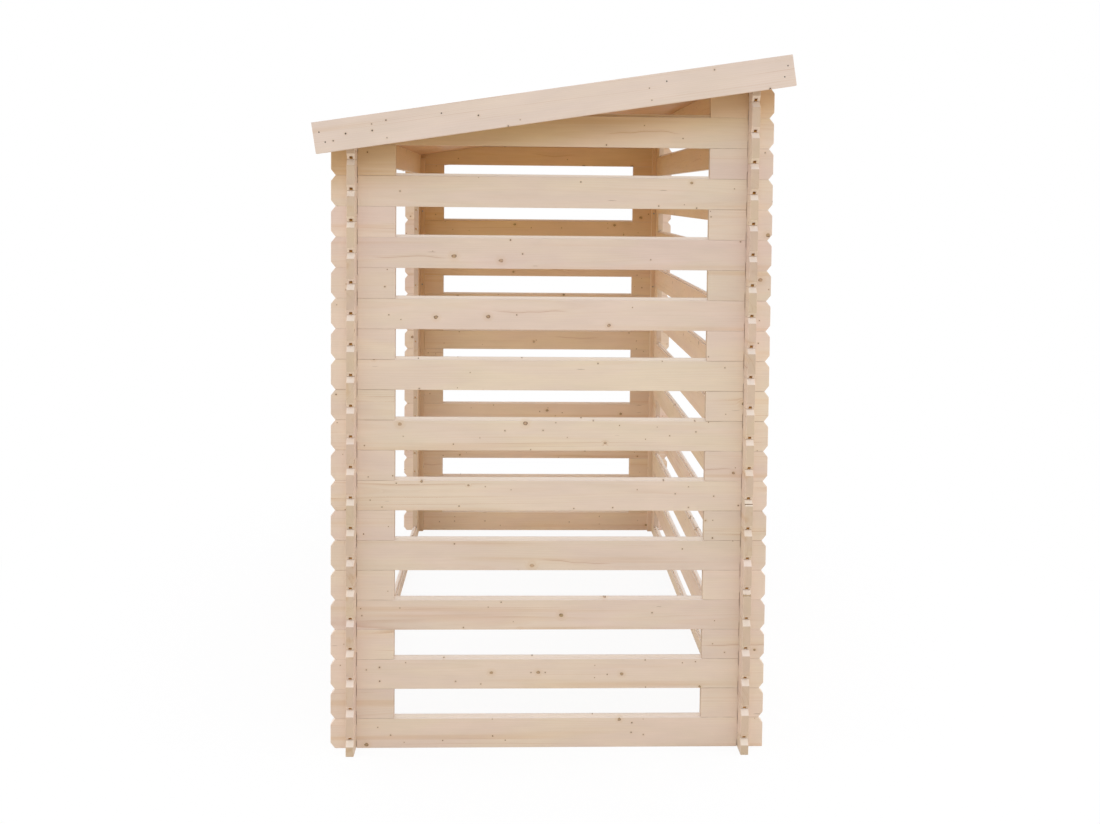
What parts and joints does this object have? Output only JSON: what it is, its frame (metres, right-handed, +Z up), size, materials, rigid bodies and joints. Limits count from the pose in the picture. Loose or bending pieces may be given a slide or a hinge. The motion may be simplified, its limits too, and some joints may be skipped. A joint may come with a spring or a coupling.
{
  "type": "log store",
  "caption": "Open-fronted timber log store with slatted side and back walls, notched corners and a sloping boarded roof, for stacking and drying firewood.",
  "frame": {"origin": "on the ground under the middle of the store's outer box", "axes": "+X along the length, to the right seen from the open front; +Y from the open front to the back, up the roof's slope; +Z up"},
  "size_m": [2.15, 1.2382, 1.8586],
  "materials": {
    "wall_boards": "planed, unfinished spruce",
    "roof_boards": "planed, unfinished spruce",
    "trim_boards": "planed, unfinished spruce",
    "battens": "planed, unfinished spruce"
  },
  "bodies": {
    "root": {"back_eaves_board": "trim_boards", "back_left_corner_batten": "battens", "back_right_corner_batten": "battens", "back_wall_bottom_rail": "wall_boards", "back_wall_left_blocks": "wall_boards", "back_wall_rails": "wall_boards", "back_wall_right_blocks": "wall_boards", "back_wall_top_board": "wall_boards", "front_bottom_rail": "wall_boards", "front_eaves_board": "trim_boards", "front_left_blocks_even": "wall_boards", "front_left_blocks_odd": "wall_boards", "front_left_corner_batten": "battens", "front_lintel": "wall_boards", "front_right_blocks_even": "wall_boards", "front_right_blocks_odd": "wall_boards", "front_right_corner_batten": "battens", "left_bargeboard": "trim_boards", "left_wall_back_blocks": "wall_boards", "left_wall_bottom_board": "wall_boards", "left_wall_front_blocks": "wall_boards", "left_wall_gable_wedge": "wall_boards", "left_wall_rails": "wall_boards", "left_wall_top_board": "wall_boards", "right_bargeboard": "trim_boards", "right_wall_back_blocks": "wall_boards", "right_wall_bottom_board": "wall_boards", "right_wall_front_blocks": "wall_boards", "right_wall_gable_wedge": "wall_boards", "right_wall_rails": "wall_boards", "right_wall_top_board": "wall_boards", "roof_boards": "roof_boards"}
  },
  "joints": []
}
